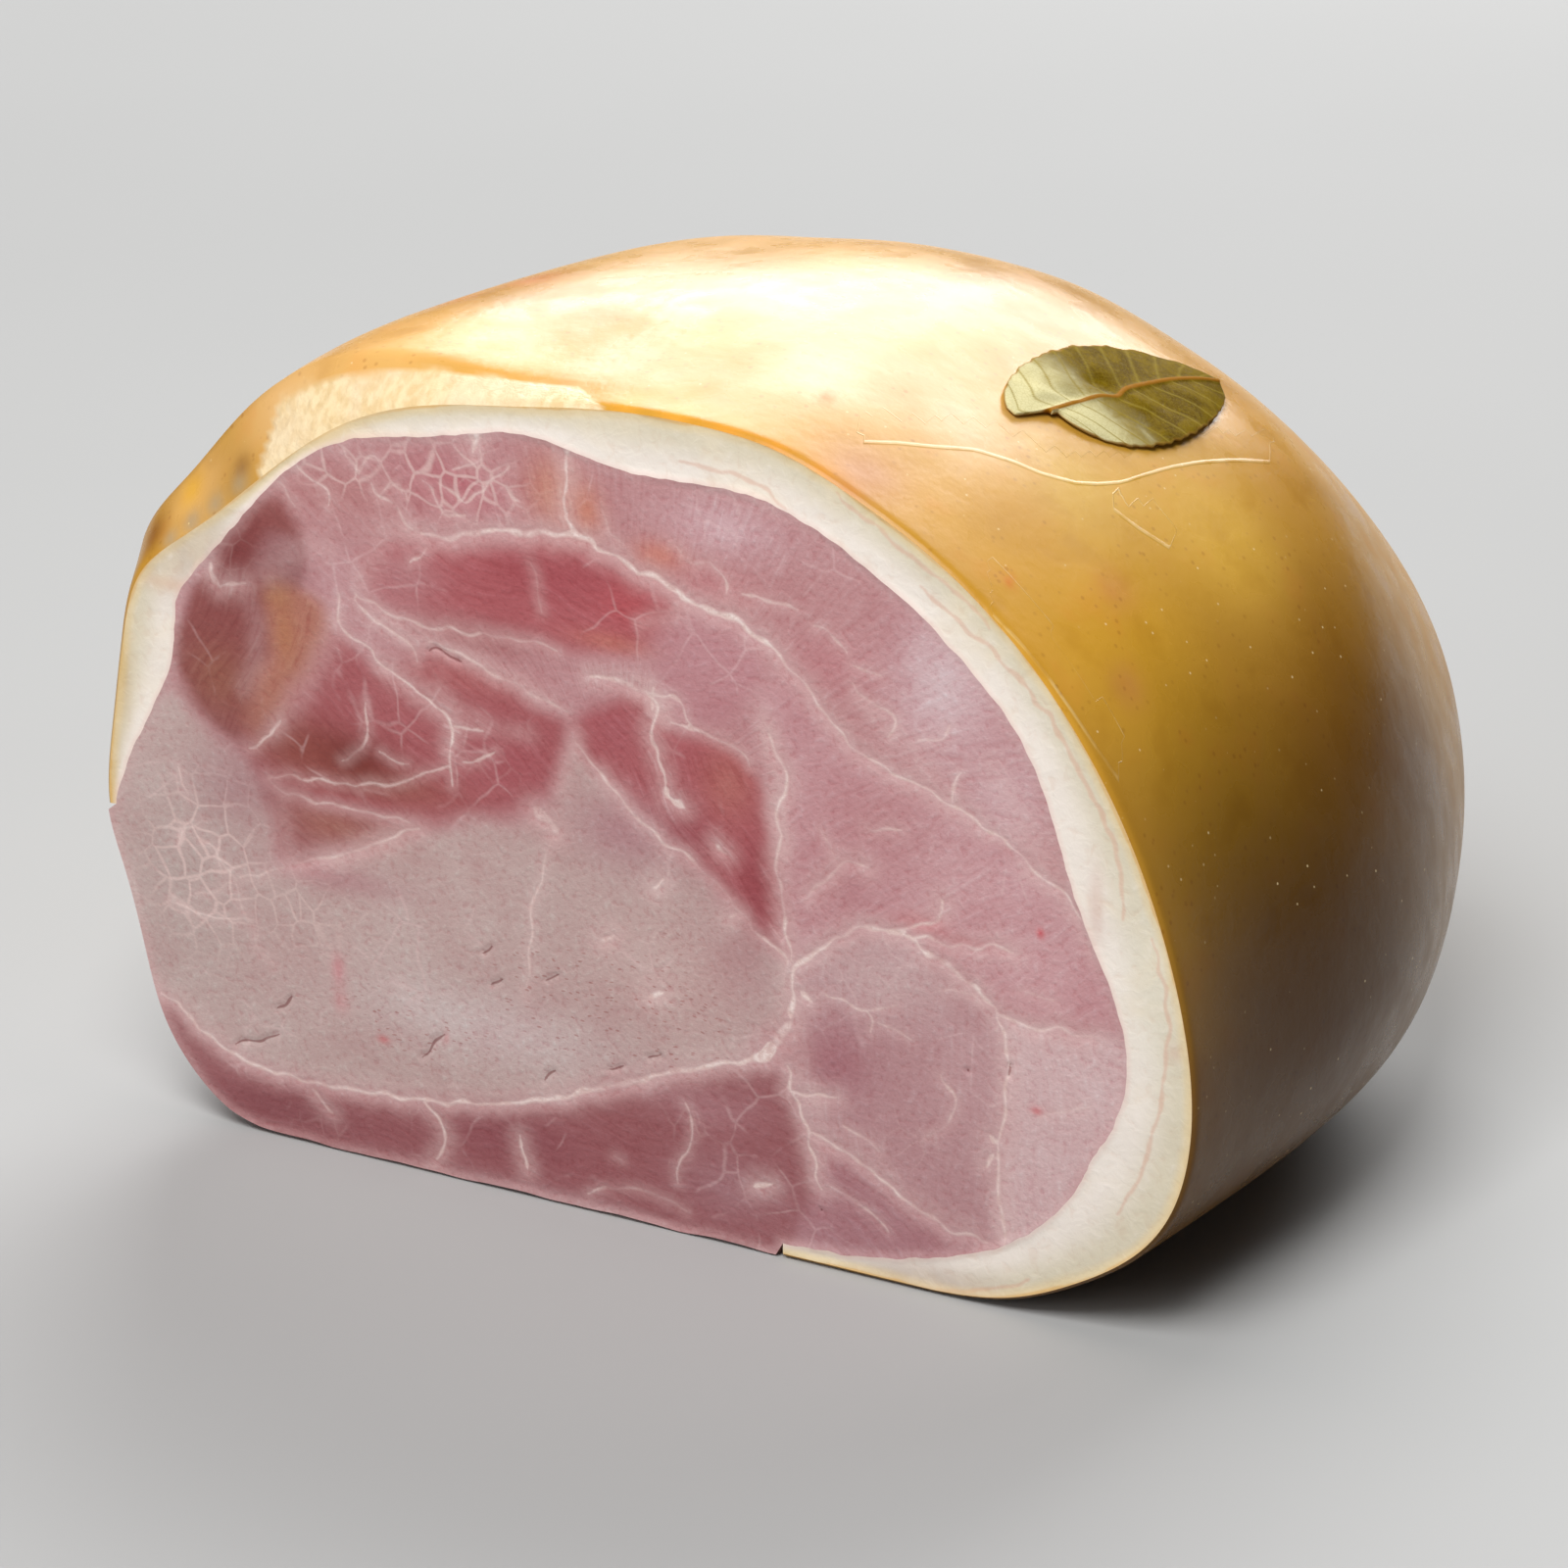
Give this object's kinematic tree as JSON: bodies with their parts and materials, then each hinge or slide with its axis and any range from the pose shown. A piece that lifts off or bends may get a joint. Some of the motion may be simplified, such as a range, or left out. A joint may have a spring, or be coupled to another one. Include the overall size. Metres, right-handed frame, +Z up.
{
  "type": "cooked ham half",
  "caption": "Half of a boneless cooked ham standing with its cut face upright: pink lean in a cap of fat and amber rind, with a bay leaf on top.",
  "frame": {"origin": "centre of the bounding box at the surface that the ham rests on", "axes": "+Z up, -Y out of the cut face, +Y towards the rounded end, +X to the right as the cut face is seen"},
  "size_m": [0.231, 0.1824, 0.1605],
  "materials": {
    "lean": "moist satin, pink muscle with white seams",
    "rind": "smooth amber skin with a soft gloss over cream fat",
    "leaf": "olive green leaf with a waxy sheen"
  },
  "bodies": {
    "root": {"meat": "lean", "fat_rind": "rind", "bay_leaf": "leaf"}
  },
  "joints": []
}
